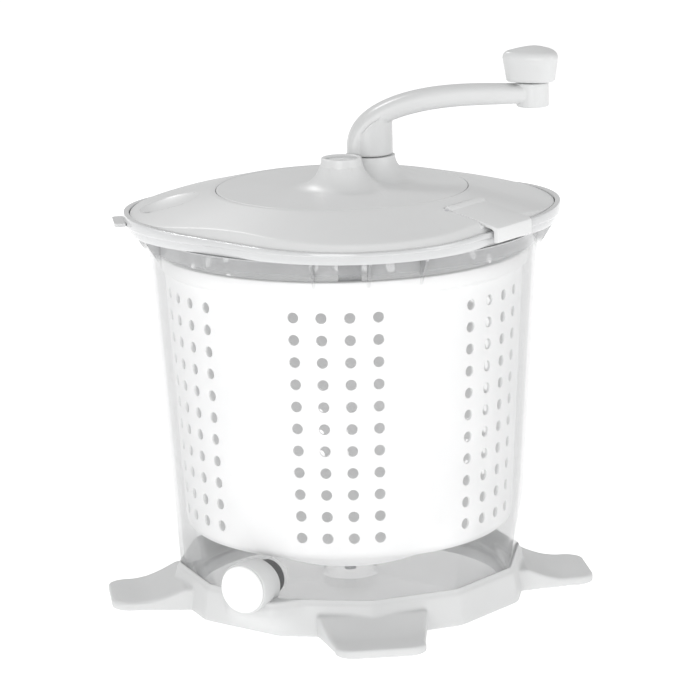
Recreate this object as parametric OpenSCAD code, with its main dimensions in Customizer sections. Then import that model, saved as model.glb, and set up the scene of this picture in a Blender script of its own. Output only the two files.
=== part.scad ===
// Crank-driven salad spinner: a clear bucket on four feet, a perforated basket that
// spins on a pin, and a lid that carries the gear train, the crank and a latch.
// Millimetres. The origin is where the spin axis meets the floor, +Z is up, and the
// four feet point along X and Y. A bearing is measured from -Y towards +X.

/* [Bucket] */
// Radius of the round wall at its top
wall_top_r = 131; // [130.5:0.1:131.5]
// Radius of the wall at the corners of its twelve-sided foot
wall_foot_r = 117.2; // [116.5:0.1:117.5]
// Thickness of the clear wall
wall_t = 3; // [2.6:0.2:3.2]
// Height of the bucket floor
floor_z = 12; // [11:0.5:13]
// Distance from the axis to the rim's rounded corners
rim_corner_r = 147.5; // [146:0.5:149]
// Distance from the axis to the middle of the rim's four sides
rim_side_r = 134.5; // [134:0.25:135.5]
// Height of the rim over the front foot
rim_z = 264.5; // [264:0.25:265]
// How much higher the rim is over the side feet
rim_rise = 5; // [3:0.5:5.5]

/* [Base] */
// Reach of each foot from the axis
foot_reach = 166; // [160:1:170]
// Half the width of a foot
foot_half_w = 30; // [26:1:32]
// Corner radius of the outside of the skirt at the floor
skirt_r = 123.5; // [122:0.5:125]
// Height of the skirt's shoulder
skirt_h = 22; // [20:1:23]

/* [Basket] */
// Outer radius of the basket at half height
basket_r = 116; // [115:0.5:116.5]
// Widening of the basket's radius for each millimetre of height
basket_taper = 0.0546; // [0.04:0.001:0.056]
// Height of the basket's floor
basket_floor_z = 50; // [49:0.5:52]
// Height of the basket's rim
basket_top_z = 241; // [238:1:242]
// Wall thickness of the basket
basket_t = 2.2; // [1.8:0.2:2.6]
// Hole diameter
hole_d = 7.2; // [5:0.2:8]
// Rows of holes
hole_rows = 11; // [5:1:11]
// Holes side by side in each group
hole_cols = 4; // [2:1:4]
// Groups of holes around the basket
hole_groups = 6; // [3:1:6]

/* [Drain] */
// Bearing of the drain
drain_az = -38; // [-40:1:-36]
// Height of the drain's axis
drain_z = 35.5; // [35:0.5:36]
// Radius of the stopper's cap
stopper_r = 15.8; // [14:0.2:17]

/* [Lid] */
// Radius of the round gear cover
cover_r = 84.8; // [84:0.2:85]
// Height of the gear cover's edge
cover_z = 281; // [280.5:0.25:281.5]
// Fall of the lid for each millimetre outwards
lid_slope = 0.235; // [0.22:0.005:0.24]
// Thickness of the lid
lid_t = 3; // [2.6:0.2:3.2]
// Bearing of the latch
latch_az = 47; // [45:1:49]
// Width of the latch
latch_w = 40; // [34:1:42]

/* [Drive] */
// Tooth module of the gear pair
gear_module = 1.6; // [1.5:0.05:1.6]
// Teeth on the crank's wheel
wheel_teeth = 41; // [39:1:41]
// Teeth on the pinion
pinion_teeth = 11; // [11:1:11]
// Pressure angle
pressure_angle = 25; // [23:1:26]
// Bearing of one drive arm
arm_az = -5; // [-10:1:10]

/* [Crank] */
// Distance from the crank's axis to the knob's axis
crank_reach = 111.4; // [100:0.2:114]
// Rise of the arm's arch
arch_rise = 37.4; // [34:0.2:38]
// Bearing that the crank points to at rest
crank_az = 83; // [60:1:120]
// Width of the knob
knob_w = 40; // [34:1:42]

/* [Hidden] */
$fn = 96;
eps = 0.02;

// Bucket
foot_z = 28;
wall_lean = (wall_top_r - wall_foot_r) / (basket_top_z - foot_z);
flat_r = wall_foot_r * cos(15);
flat_lean = 9;
collar_z = 256;
ledge_z = 261;
opening_r = 127.8;
rim_lobe_r = (sqrt(2) * rim_side_r - rim_corner_r) / (sqrt(2) - 1);
rim_lobe_off = (rim_side_r - rim_lobe_r) * sqrt(2);
collar_in = 2.5;
rim_in = 3.8;
lid_in = 4.2;
pedestal_r = 18;
pedestal_z = 20;
foot_t = 7;
skirt_top = 26;
drain_hole_r = 9.1;
boss_face = 137.2;
boss_r = 17;

// Pivot under the basket
pin_r = 4;
pin_top = 46;
bush_r = 6.95;
cup_r = 10;

// Basket
row_pitch = 15;
col_angle = 8.93;
group_az = -9.85;
mid_row_z = 141.5;
basket_rim_r = 124.5;
lug_t = 4;
hub_z = 30;

// Drive, with the crank's axis behind and to the right of the spin axis
pinion_r = gear_module * pinion_teeth / 2;
wheel_r = gear_module * wheel_teeth / 2;
centre_gap = pinion_r + wheel_r;
crank_dir = 55;
crank_x = centre_gap * cos(crank_dir);
crank_y = centre_gap * sin(crank_dir);
plate_z = 262;
gear_z = 266.5;
gear_h = 8;
backlash = 0.2;
hub_top_z = 301;
boss_top_z = 296;
spindle_r = 4;
shaft_r = 5;
fork_r = 117.5;

// Latches
latch_hinge_r = 100;
latch_hinge_z = 276.5;
latch_tilt = 12.5;
latch_pin_r = 1.5;

// Crank
post_r = 15.8;
post_z = 296.6;
pin_z = 306;
arm_foot = -10.3;
arm_z = 298.5;
arm_level = 78;
end_boss_z = 327;
end_boss_h = 16.5;
knob_z = 344.6;
knob_turn = 72;
knob_h = 23.4;

// Local +X points along a bearing
module bearing(a) { rotate(a - 90) children(); }

// Local Z points outwards along a bearing at height z
module outward(a, z) { bearing(a) translate([0, 0, z]) rotate([0, 90, 0]) children(); }

// Things on the crank's axis
module at_crank() { translate([crank_x, crank_y, 0]) children(); }

// A plain tube standing on z0
module ring(r_out, r_in, z0, z1) {
    translate([0, 0, z0]) difference() {
        cylinder(h = z1 - z0, r = r_out);
        translate([0, 0, -1]) cylinder(h = z1 - z0 + 2, r = r_in);
    }
}

function wall_r(z) = wall_foot_r + (z - foot_z) * wall_lean;

// Solid of the bucket's shape, shrunk by inset: round above, twelve flats below
module tub(inset, z0, z1) {
    difference() {
        translate([0, 0, z0])
            cylinder(h = z1 - z0, r1 = wall_r(z0) - inset, r2 = wall_r(z1) - inset, $fn = 180);
        for (i = [0:11])
            rotate(15 + 30 * i) translate([flat_r - inset, 0, foot_z])
                rotate([0, flat_lean, 0]) translate([0, -40, -40]) cube([40, 80, 140]);
    }
}

// Plan of the rim: a square with wide round corners over the feet
module rim_plan(grow) {
    polygon([for (i = [0:3]) for (a = [-45:5:45])
        rim_lobe_off * [cos(90 * i), sin(90 * i)]
            + (rim_lobe_r + grow) * [cos(90 * i + a), sin(90 * i + a)]]);
}

// Triangular ribs under the collar, three over each foot
module gussets() {
    for (i = [0:3]) for (k = [-15.5, 0, 15.5])
        rotate(90 * i + k) rotate([90, 0, 0]) linear_extrude(2, center = true)
            polygon([[129.6, 238], [139.5, 258.6], [129.6, 258.6]]);
}

module bucket() {
    color([0.86, 0.88, 0.88, 0.35]) difference() {
        union() {
            tub(0, floor_z - 2.5, collar_z + 1);
            translate([0, 0, collar_z]) linear_extrude(6.5) rim_plan(-collar_in);
            translate([0, 0, collar_z + 6]) linear_extrude(9) rim_plan(0);
            gussets();
            translate([-154.7, -14, 262.6]) cube([12, 28, 2.4]);
        }
        difference() {
            tub(wall_t, floor_z, 252);
            cylinder(h = pedestal_z, r = pedestal_r);
        }
        translate([0, 0, 251]) cylinder(h = 12, r = opening_r, $fn = 180);
        translate([0, 0, ledge_z]) linear_extrude(20) rim_plan(-rim_in);
        difference() {
            translate([0, 0, collar_z - 1]) linear_extrude(3.5) rim_plan(-collar_in - 2.6);
            cylinder(h = 300, r = 132.4, $fn = 180);
            gussets();
        }
        rotate([90, 0, 0]) linear_extrude(400, center = true) polygon(concat(
            [for (x = [-160:20:160]) [x, rim_z + rim_rise * pow(x / rim_corner_r, 2)]],
            [[160, 300], [-160, 300]]));
        outward(drain_az, drain_z) translate([0, 0, 100]) cylinder(h = 30, r = drain_hole_r);
        translate([0, 0, 14]) cylinder(h = 10, r = pin_r);
    }
}

module foot_plan() {
    polygon([[112, -37], [150, -foot_half_w], [150, foot_half_w], [112, 37]]);
    translate([140, -foot_half_w]) square([foot_reach - 152, 2 * foot_half_w]);
    translate([140, 12 - foot_half_w]) square([foot_reach - 140, 2 * foot_half_w - 24]);
    for (s = [-1, 1]) translate([foot_reach - 12, s * (foot_half_w - 12)]) circle(r = 12);
}

// Side view of a foot: thin at the tip, rising in a hollow curve to the skirt
module foot_profile() {
    polygon(concat([[100, 1], [foot_reach + 1, 1], [foot_reach + 1, foot_t]],
        [for (a = [0:10:90]) [148 - 30 * sin(a), foot_t + 9 * (1 - cos(a))]],
        [[100, foot_t + 9]]));
}

// Outer form of the drain, from a distance out to just behind the cap
module drain_barrel(from) {
    outward(drain_az, drain_z) translate([0, 0, from])
        cylinder(h = boss_face - from, r1 = boss_r + (boss_face - from) / 20, r2 = boss_r);
}

module base_skirt() {
    color([0.86, 0.87, 0.87]) difference() {
        union() {
            translate([0, 0, 1]) cylinder(h = skirt_h - 1, r1 = skirt_r, r2 = 120, $fn = 12);
            translate([0, 0, skirt_h - eps])
                cylinder(h = skirt_top - skirt_h, r1 = 120, r2 = 118.3, $fn = 12);
            for (i = [0:3]) rotate(90 * i) intersection() {
                linear_extrude(20) foot_plan();
                rotate([90, 0, 0]) linear_extrude(100, center = true) foot_profile();
            }
            intersection() {
                hull() {
                    drain_barrel(112);
                    bearing(drain_az) translate([100, -25, 1]) cube([21, 50, 18]);
                }
                translate([0, 0, 1]) cylinder(h = skirt_top - 1, r = 200);
            }
        }
        tub(-0.3, floor_z - 2.7, 30);
        translate([0, 0, -1]) cylinder(h = 20, r = 104);
        for (i = [0:3]) rotate(90 * i) translate([148, 0, 0]) cylinder(h = 2, r = 9.1);
    }
}

module foot_pads() {
    color([0.75, 0.75, 0.75])
        for (i = [0:3]) rotate(90 * i) translate([148, 0, 0]) cylinder(h = 2, r = 9);
}

module pivot_pin() {
    color([0.75, 0.75, 0.77]) {
        translate([0, 0, 14]) cylinder(h = pin_top - 15, r = pin_r);
        translate([0, 0, pin_top - 1]) cylinder(h = 1, r1 = pin_r, r2 = pin_r - 1);
    }
}

module drain_boss() {
    color([0.82, 0.83, 0.83]) difference() {
        union() {
            difference() {
                drain_barrel(108);
                tub(-0.1, 5, 80);
                cylinder(h = skirt_top, r = 200);
            }
            outward(drain_az, drain_z) translate([0, 0, 98]) cylinder(h = 24, r = drain_hole_r - 0.2);
        }
        outward(drain_az, drain_z) translate([0, 0, 90]) cylinder(h = 50, r = 6.5);
    }
}

module drain_gasket() {
    color([0.5, 0.5, 0.5]) difference() {
        intersection() {
            outward(drain_az, drain_z) translate([0, 0, 105]) cylinder(h = 12, r = 12);
            tub(wall_t + 0.1, 15, 60);
        }
        outward(drain_az, drain_z) translate([0, 0, 100]) cylinder(h = 20, r = drain_hole_r);
    }
}

module drain_nut() {
    color([0.9, 0.9, 0.9]) outward(drain_az, drain_z) translate([0, 0, 99]) difference() {
        cylinder(h = 6, r = 12, $fn = 6);
        translate([0, 0, -1]) cylinder(h = 8, r = drain_hole_r - 0.1);
    }
}

module drain_stopper() {
    color([0.97, 0.97, 0.97]) outward(drain_az, drain_z) rotate_extrude() polygon(concat(
        [[0, 100], [6.3, 100], [6.3, 103], [4.3, 103], [4.3, 106], [6.3, 106], [6.3, boss_face + 0.4],
            [stopper_r, boss_face + 0.4]],
        [for (a = [0:15:90]) [stopper_r - 1.2 + 1.2 * cos(a), boss_face + 1.2 + 1.2 * sin(a)]],
        [[0, boss_face + 2.4]]));
}

module stopper_o_ring() {
    color([0.2, 0.2, 0.2]) outward(drain_az, drain_z) translate([0, 0, 104.5])
        rotate_extrude() translate([5.35, 0]) circle(r = 1, $fn = 24);
}

module pivot_bush() {
    color([0.93, 0.93, 0.9]) difference() {
        union() {
            translate([0, 0, pedestal_z + 0.2]) cylinder(h = 2, r = 9.8);
            translate([0, 0, pedestal_z + 0.2]) cylinder(h = 24, r = bush_r);
        }
        translate([0, 0, pedestal_z - 1]) cylinder(h = 30, r = pin_r + 0.05);
    }
}

function basket_out(z) = basket_r + basket_taper * (z - mid_row_z);

// Half section of the basket: a dished floor, a round heel, the wall and the rim band
module basket_section() {
    heel = 8;
    polygon(concat(
        [[0, hub_z], [20, hub_z], [64, basket_floor_z - 4]],
        [for (a = [-90:15:0]) [basket_out(58) - heel + heel * cos(a), 58 + heel * sin(a)]],
        [[basket_out(229), 229], [basket_rim_r, 232], [basket_rim_r, basket_top_z],
            [basket_out(basket_top_z) - basket_t, basket_top_z]],
        [for (a = [0:-15:-90])
            [basket_out(58) - heel + (heel - basket_t) * cos(a), 58 + (heel - basket_t) * sin(a)]],
        [[64, basket_floor_z - 4 + basket_t], [20, hub_z + basket_t], [0, hub_z + basket_t]]));
}

module basket() {
    color([0.97, 0.97, 0.97]) difference() {
        union() {
            rotate_extrude($fn = 180) basket_section();
            translate([0, 0, 25]) cylinder(h = 26, r = 14);
            for (i = [0:2]) bearing(arm_az + 120 * i)
                translate([112, -lug_t / 2, 224]) cube([7.4, lug_t, 14]);
        }
        translate([0, 0, 20]) cylinder(h = 28.5, r = cup_r);
        for (g = [0:hole_groups - 1]) for (c = [0:hole_cols - 1]) for (r = [0:hole_rows - 1])
            outward(group_az + 360 / hole_groups * g + col_angle * (c - (hole_cols - 1) / 2),
                    mid_row_z + row_pitch * (r - (hole_rows - 1) / 2))
                translate([0, 0, 104]) cylinder(h = 24, d = hole_d, $fn = 16);
        for (k = [1:4]) for (i = [0:11])
            bearing(30 * i + 15 * k) translate([14 + 18 * k, 0, 40]) cylinder(h = 20, r = 3, $fn = 16);
    }
}

module basket_cup() {
    color([0.85, 0.85, 0.82]) difference() {
        translate([0, 0, 22.5]) cylinder(h = 26, r = cup_r);
        translate([0, 0, 20]) cylinder(h = 27, r = bush_r + 0.05);
    }
}

function lid_top(r) = cover_z - lid_slope * (r - cover_r - 3);

// Solid under the lid's sloping top, lowered by drop
module lid_cone(drop) {
    translate([0, 0, 250])
        cylinder(h = cover_z - drop - 250, r1 = cover_r + 3 + (cover_z - drop - 250) / lid_slope,
            r2 = cover_r + 3, $fn = 180);
}

// Frame of the latch: X runs down the lid from the hinge, Z is square to the flap
module latch_frame() {
    bearing(latch_az) translate([latch_hinge_r, 0, latch_hinge_z]) rotate([0, latch_tilt, 0]) children();
}

// Block of space that the latch lies in
module latch_pocket(grow) {
    translate([-4 - grow, -latch_w / 2 - grow, -3 - grow]) cube([50, latch_w + 2 * grow, 20]);
}

module lid_shell() {
    color([0.8, 0.81, 0.81]) difference() {
        union() {
            difference() {
                intersection() {
                    translate([0, 0, ledge_z + 0.2]) linear_extrude(25) rim_plan(-lid_in);
                    lid_cone(0);
                }
                intersection() {
                    translate([0, 0, ledge_z - 1]) linear_extrude(25) rim_plan(-lid_in - 3.6);
                    lid_cone(lid_t + 0.1);
                }
            }
            ring(opening_r - 1, opening_r - 3.6, collar_z + 1, 269);
            ring(cover_r + 3, cover_r - 5.8, 273, cover_z);
            intersection() {
                latch_frame() translate([-7, -latch_w / 2 - 3, -6.5]) cube([40, latch_w + 6, 9]);
                translate([0, 0, ledge_z + 0.2]) linear_extrude(25) rim_plan(-lid_in);
                lid_cone(0);
            }
        }
        translate([0, 0, 240]) cylinder(h = 60, r = cover_r - 5.8);
        translate([0, 0, cover_z - 4.2]) cylinder(h = 20, r = cover_r + 0.4);
        latch_frame() latch_pocket(0.5);
        latch_frame() rotate([90, 0, 0]) cylinder(h = 47, r = latch_pin_r, center = true);
        translate([-129, -1, 250]) cylinder(h = 30, r = 5);
        translate([0, 0, lid_top(129) - 1.4]) linear_extrude(20) hull() {
            translate([-129, -1]) circle(r = 7.5);
            translate([-101, 20]) circle(r = 3);
        }
        for (i = [0:5]) bearing(60 * i) translate([cover_r - 2.9, 0, 250]) cylinder(h = 40, r = 1.7);
    }
}

module lid_seal() {
    color([0.9, 0.9, 0.9]) ring(opening_r - 0.4, opening_r - 0.95, collar_z + 1.5, collar_z + 4);
}

// Half section of a trumpet-shaped boss standing on the gear cover
module bell(r_top, z_top, r_foot) {
    rotate_extrude() polygon(concat(
        [[0, cover_z - 1], [r_foot, cover_z - 1], [r_foot, cover_z]],
        [for (t = [90:-9:0])
            [r_top + (r_foot - r_top) * (1 - cos(t)), z_top - (z_top - cover_z) * sin(t)]],
        [[0, z_top]]));
}

module gear_cover() {
    color([0.8, 0.81, 0.81]) difference() {
        union() {
            translate([0, 0, cover_z - 4]) cylinder(h = 4, r = cover_r);
            bell(13.7, hub_top_z, 34);
            at_crank() bell(17.2, boss_top_z, 36);
        }
        translate([0, 0, 270]) cylinder(h = 40, r = 7);
        translate([0, 0, hub_top_z - 4]) cylinder(h = 10, r = 10.9);
        at_crank() translate([0, 0, 270]) cylinder(h = 40, r = 8);
        for (i = [0:5]) bearing(60 * i) translate([cover_r - 2.9, 0, 270]) cylinder(h = 10, r = 1.3);
        for (i = [0:3]) rotate(90 * i) translate([70, 0, 270]) cylinder(h = 10, r = 1.3);
    }
}

module gear_plate() {
    color([0.85, 0.86, 0.86]) difference() {
        union() {
            translate([0, 0, plate_z]) cylinder(h = 2.5, r = cover_r - 6.4);
            for (i = [0:3]) rotate(90 * i) translate([70, 0, plate_z])
                cylinder(h = cover_z - 4 - plate_z, r = 4);
        }
        translate([0, 0, 250]) cylinder(h = 20, r = 7);
        at_crank() translate([0, 0, 250]) cylinder(h = 20, r = 8);
        for (i = [0:3]) rotate(90 * i) translate([70, 0, 250]) cylinder(h = 40, r = 1.7);
    }
}

// A pan-headed screw with its head at the bottom
module screw(z0, z1, r) {
    translate([0, 0, z0]) cylinder(h = z1 - z0, r = r);
    translate([0, 0, z0 - 2]) difference() {
        cylinder(h = 2, r = 2 * r);
        translate([0, 0, -1]) cylinder(h = 2, r = 0.9 * r, $fn = 6);
    }
}

module cover_screws() {
    color([0.7, 0.7, 0.72]) for (i = [0:5]) bearing(60 * i) translate([cover_r - 2.9, 0, 0])
        screw(272.9, 279.5, 1.2);
}

module plate_screws() {
    color([0.7, 0.7, 0.72]) for (i = [0:3]) rotate(90 * i) translate([70, 0, 0])
        screw(plate_z - 0.1, 279.5, 1.2);
}

module hub_cap() {
    color([0.84, 0.85, 0.85]) translate([0, 0, hub_top_z - 3.8]) cylinder(h = 2, r = 10.6);
}

module crank_bush_upper() {
    color([0.93, 0.93, 0.9]) at_crank() ring(7.98, shaft_r + 0.05, 284, boss_top_z - 0.2);
}

module crank_bush_lower() {
    color([0.93, 0.93, 0.9]) at_crank() {
        ring(7.98, shaft_r + 0.05, plate_z - 0.5, plate_z + 4);
        ring(9.5, shaft_r + 0.05, plate_z + 2.6, plate_z + 4);
    }
}

module spindle_bush_upper() {
    color([0.93, 0.93, 0.9]) ring(6.98, spindle_r + 0.05, 284, hub_top_z - 4.2);
}

module spindle_bush_lower() {
    color([0.93, 0.93, 0.9]) {
        ring(6.98, spindle_r + 0.05, plate_z - 0.5, plate_z + 4);
        ring(8.5, spindle_r + 0.05, plate_z + 2.6, plate_z + 4);
    }
}

module latch_pin() {
    color([0.75, 0.75, 0.77])
        latch_frame() rotate([90, 0, 0]) cylinder(h = 46, r = latch_pin_r, center = true);
}

// Side view of the latch: the hinge barrel, a flap down the lid and a lip over the rim
module latch_profile() {
    translate([latch_hinge_r, latch_hinge_z]) rotate(-latch_tilt) {
        circle(r = 3.4);
        translate([0, -1]) square([37, 2.5]);
    }
    translate([135.6, 259]) square([3.4, 10.4]);
}

module latch() {
    color([0.83, 0.84, 0.84]) difference() {
        bearing(latch_az) rotate([90, 0, 0])
            linear_extrude(latch_w, center = true) latch_profile();
        latch_frame() rotate([90, 0, 0]) cylinder(h = 60, r = latch_pin_r + 0.06, center = true);
    }
}

module spindle() {
    color([0.75, 0.75, 0.77]) translate([0, 0, 243.5]) difference() {
        cylinder(h = 52, r = spindle_r);
        translate([0, 0, -1]) cylinder(h = 9, r = 1.4);
    }
}

// Flank of a tooth: the involute of the base circle, turned to the tooth's half angle
function inv_point(rb, t, turn) =
    let (x = rb * (cos(t) + t * PI / 180 * sin(t)), y = rb * (sin(t) - t * PI / 180 * cos(t)))
    [x * cos(turn) - y * sin(turn), x * sin(turn) + y * cos(turn)];

function roll_to(rb, r) = r <= rb ? 0 : sqrt(pow(r / rb, 2) - 1) * 180 / PI;

// Outline of a spur gear with a tooth on +X
module gear_outline(teeth) {
    pitch = gear_module * teeth / 2;
    rb = pitch * cos(pressure_angle);
    tip = pitch + 0.9 * gear_module;
    root = pitch - 1.2 * gear_module;
    half = 90 / teeth - backlash / 2 / pitch * 180 / PI
        + (tan(pressure_angle) * 180 / PI - pressure_angle);
    t1 = roll_to(rb, tip);
    steps = 6;
    circle(r = root + eps);
    for (i = [0:teeth - 1]) rotate(360 / teeth * i) polygon(concat(
        [[root * 0.9 * cos(half), -root * 0.9 * sin(half)]],
        [for (k = [0:steps]) inv_point(rb, t1 * k / steps, -half)],
        [for (k = [steps:-1:0]) let (p = inv_point(rb, t1 * k / steps, -half)) [p[0], -p[1]]],
        [[root * 0.9 * cos(half), root * 0.9 * sin(half)]]));
}

module pinion() {
    color([0.95, 0.95, 0.93]) difference() {
        rotate(crank_dir) translate([0, 0, gear_z]) linear_extrude(gear_h + 0.5)
            gear_outline(pinion_teeth);
        translate([0, 0, 260]) cylinder(h = 30, r = spindle_r);
    }
}

module drive_gear() {
    color([0.95, 0.95, 0.93]) at_crank() difference() {
        rotate(crank_dir + 180 + 180 / wheel_teeth) translate([0, 0, gear_z])
            linear_extrude(gear_h) gear_outline(wheel_teeth);
        translate([0, 0, 260]) cylinder(h = 30, r = shaft_r);
        for (i = [0:5]) rotate(60 * i) translate([18, 0, 260]) cylinder(h = 30, r = 6);
    }
}

// Three arms whose forked ends reach over the lugs in the basket
module drive_spider() {
    color([0.55, 0.56, 0.57]) difference() {
        union() {
            translate([0, 0, 243]) cylinder(h = 15, r = 12);
            for (i = [0:2]) bearing(arm_az + 120 * i) {
                translate([8, -6, 245]) cube([104, 12, 6]);
                translate([108, -7.5, 231]) cube([fork_r - 108, 15, 20]);
            }
        }
        for (i = [0:2]) bearing(arm_az + 120 * i)
            translate([110.8, -lug_t / 2 - 0.8, 230]) cube([20, lug_t + 1.6, 9.5]);
        translate([0, 0, 243.5]) cylinder(h = 30, r = spindle_r);
        translate([0, 0, 240]) cylinder(h = 10, r = 1.7);
    }
}

module spindle_clip() {
    color([0.6, 0.6, 0.62]) ring(6.5, spindle_r, 282.2, 283.2);
}

module spider_screw() { color([0.7, 0.7, 0.72]) screw(242.9, 250, 1.39); }

module crank_shaft() {
    color([0.75, 0.75, 0.77]) at_crank() translate([0, 0, 260]) difference() {
        cylinder(h = 56, r = shaft_r);
        translate([0, 0, pin_z - 260]) rotate([90, 0, 0]) cylinder(h = 20, r = 1.5, center = true);
    }
}

module shaft_clip() { color([0.6, 0.6, 0.62]) at_crank() ring(7.5, shaft_r, 282.2, 283.2); }

// Centre line of the arm: an arch that levels out towards the knob
function arm_point(t) =
    [arm_level + (arm_foot - arm_level) * pow(cos(t), 0.87), arm_z + arch_rise * pow(sin(t), 0.87)];

// Rounded section of the arm, w across and h high
function arm_section(w, h) = [for (i = [0:15])
    let (a = 22.5 * i + 11.25, c = cos(a), s = sin(a))
    [w / 2 * sign(c) * pow(abs(c), 0.6), h / 2 * sign(s) * pow(abs(s), 0.6)]];

module arm_sweep() {
    rings = 18;
    path = concat([for (i = [0:rings]) arm_point(90 * i / rings)],
        [[crank_reach - 4, arm_z + arch_rise]]);
    n = len(path);
    points = [for (i = [0:n - 1])
        let (a = path[max(i - 1, 0)], b = path[min(i + 1, n - 1)],
            d = (b - a) / norm(b - a), k = i / (n - 1),
            sec = arm_section(2 * post_r - 1 - 11 * k, 11 + 3.4 * sin(150 * k)))
        for (p = sec) [path[i][0] - d[1] * p[1], p[0], path[i][1] + d[0] * p[1]]];
    faces = concat([[for (j = [0:15]) j]], [[for (j = [15:-1:0]) (n - 1) * 16 + j]],
        [for (i = [0:n - 2]) for (j = [0:15])
            [i * 16 + j, (i + 1) * 16 + j, (i + 1) * 16 + (j + 1) % 16, i * 16 + (j + 1) % 16]]);
    polyhedron(points, faces, convexity = 4);
}

// Local +X points from the crank's axis to the knob
module crank_frame() { at_crank() bearing(crank_az) children(); }

module crank_arm() {
    color([0.9, 0.91, 0.91]) crank_frame() difference() {
        union() {
            arm_sweep();
            intersection() {
                translate([0, 0, post_z]) cylinder(h = 40, r = post_r);
                rotate([90, 0, 0]) linear_extrude(60, center = true) polygon(concat(
                    [for (t = [0:10:90]) arm_point(t)],
                    [[arm_level, post_z], [-post_r - 1, post_z], [-post_r - 1, arm_z]]));
            }
            translate([crank_reach, 0, end_boss_z]) cylinder(h = end_boss_h, r = 11.1);
        }
        translate([0, 0, 290]) cylinder(h = 26, r = shaft_r);
        translate([0, 0, pin_z]) rotate([90, 0, 90 - crank_az]) translate([0, 0, -40])
            cylinder(h = 50, r = 1.5);
        translate([crank_reach, 0, 320]) cylinder(h = 30, r = 4);
    }
}

module crank_cross_pin() {
    color([0.7, 0.7, 0.72]) at_crank() translate([0, 0, pin_z]) rotate([90, 0, 0])
        cylinder(h = 20, r = 1.5, center = true);
}

module knob_pin() {
    color([0.75, 0.75, 0.77]) crank_frame() translate([crank_reach, 0, 0]) {
        translate([0, 0, end_boss_z + 1]) cylinder(h = 31, r = pin_r);
        translate([0, 0, end_boss_z + 32 - eps]) cylinder(h = 1.5, r = 6);
    }
}

// Knob: a rounded triangle, wider at the top, free on its pin
module knob() {
    color([0.93, 0.93, 0.93]) crank_frame() translate([crank_reach, 0, 0]) difference() {
        hull() for (i = [0:2]) rotate(knob_turn + 120 * i) {
            translate([knob_w / 2 - 12, 0, knob_z]) cylinder(h = 1, r = 8, $fn = 32);
            translate([knob_w / 2 - 9, 0, knob_z + knob_h - 6]) cylinder(h = 2.5, r = 9, $fn = 32);
            translate([knob_w / 2 - 11, 0, knob_z + knob_h - 1]) cylinder(h = 1, r = 8, $fn = 32);
        }
        translate([0, 0, knob_z - 1]) cylinder(h = 15, r = pin_r + 0.05);
        translate([0, 0, knob_z + 13]) cylinder(h = 4, r = 6.4);
    }
}

bucket();
base_skirt();
foot_pads();
pivot_pin();
drain_boss();
drain_gasket();
drain_nut();
drain_stopper();
stopper_o_ring();
pivot_bush();
basket();
basket_cup();
lid_shell();
lid_seal();
gear_cover();
gear_plate();
cover_screws();
plate_screws();
hub_cap();
crank_bush_upper();
crank_bush_lower();
spindle_bush_upper();
spindle_bush_lower();
latch_pin();
latch();
spindle();
pinion();
drive_spider();
spindle_clip();
spider_screw();
crank_shaft();
drive_gear();
shaft_clip();
crank_arm();
crank_cross_pin();
knob_pin();
knob();
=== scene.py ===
import math
from math import cos, sin, pi, radians

import bmesh
import bpy
from mathutils import Matrix, Vector


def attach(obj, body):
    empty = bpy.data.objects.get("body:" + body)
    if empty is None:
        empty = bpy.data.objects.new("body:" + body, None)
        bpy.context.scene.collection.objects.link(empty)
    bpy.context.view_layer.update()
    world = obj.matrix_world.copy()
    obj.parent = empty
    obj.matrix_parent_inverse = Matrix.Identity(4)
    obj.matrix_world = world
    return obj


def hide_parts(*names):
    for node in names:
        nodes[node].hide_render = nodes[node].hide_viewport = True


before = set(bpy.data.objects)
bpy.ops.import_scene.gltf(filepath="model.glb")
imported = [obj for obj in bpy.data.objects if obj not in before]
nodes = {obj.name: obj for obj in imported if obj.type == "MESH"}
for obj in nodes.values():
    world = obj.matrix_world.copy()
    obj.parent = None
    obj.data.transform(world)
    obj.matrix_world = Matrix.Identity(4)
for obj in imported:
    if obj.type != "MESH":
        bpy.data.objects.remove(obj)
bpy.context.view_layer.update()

mm = 0.001
print("frame loaded:", len(nodes), "nodes")


cameraSetup = {
    "lens": 189.1,
    "place": (-0.2939, -2.4185, 0.7282),
    "azimuth": 7.0,  # degrees the view turns from +Y towards +X
    "pitch": 12.95,
    "roll": 1.27,
}


def makeCamera(setup):
    a, p, r = (radians(setup[key]) for key in ("azimuth", "pitch", "roll"))
    forward = Vector((sin(a) * cos(p), cos(a) * cos(p), -sin(p)))
    level = Vector((cos(a), -sin(a), 0))
    upright = level.cross(forward)
    right = level * cos(r) - upright * sin(r)
    up = upright * cos(r) + level * sin(r)
    data = bpy.data.cameras.new("productCamera")
    data.lens, data.sensor_width = setup["lens"], 36
    camera = bpy.data.objects.new("productCamera", data)
    turned = Matrix((right, up, -forward)).transposed().to_4x4()
    camera.matrix_world = Matrix.Translation(setup["place"]) @ turned
    bpy.context.scene.collection.objects.link(camera)
    bpy.context.scene.camera = camera


makeCamera(cameraSetup)
print("camera placed")


class Wire:  # a socket that does sums: wire * 2 or 1 - wire adds a Math node
    def __init__(self, graph, socket):
        self.graph, self.socket = graph, socket

    def math(self, operation, other, swap=False):
        first, second = (other, self) if swap else (self, other)
        return self.graph.add("ShaderNodeMath", {"operation": operation}, {0: first, 1: second})

    def __add__(self, other): return self.math("ADD", other)
    def __radd__(self, other): return self.math("ADD", other, True)
    def __sub__(self, other): return self.math("SUBTRACT", other)
    def __rsub__(self, other): return self.math("SUBTRACT", other, True)
    def __mul__(self, other): return self.math("MULTIPLY", other)
    def __rmul__(self, other): return self.math("MULTIPLY", other, True)
    def __pow__(self, other): return self.math("POWER", other)


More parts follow.
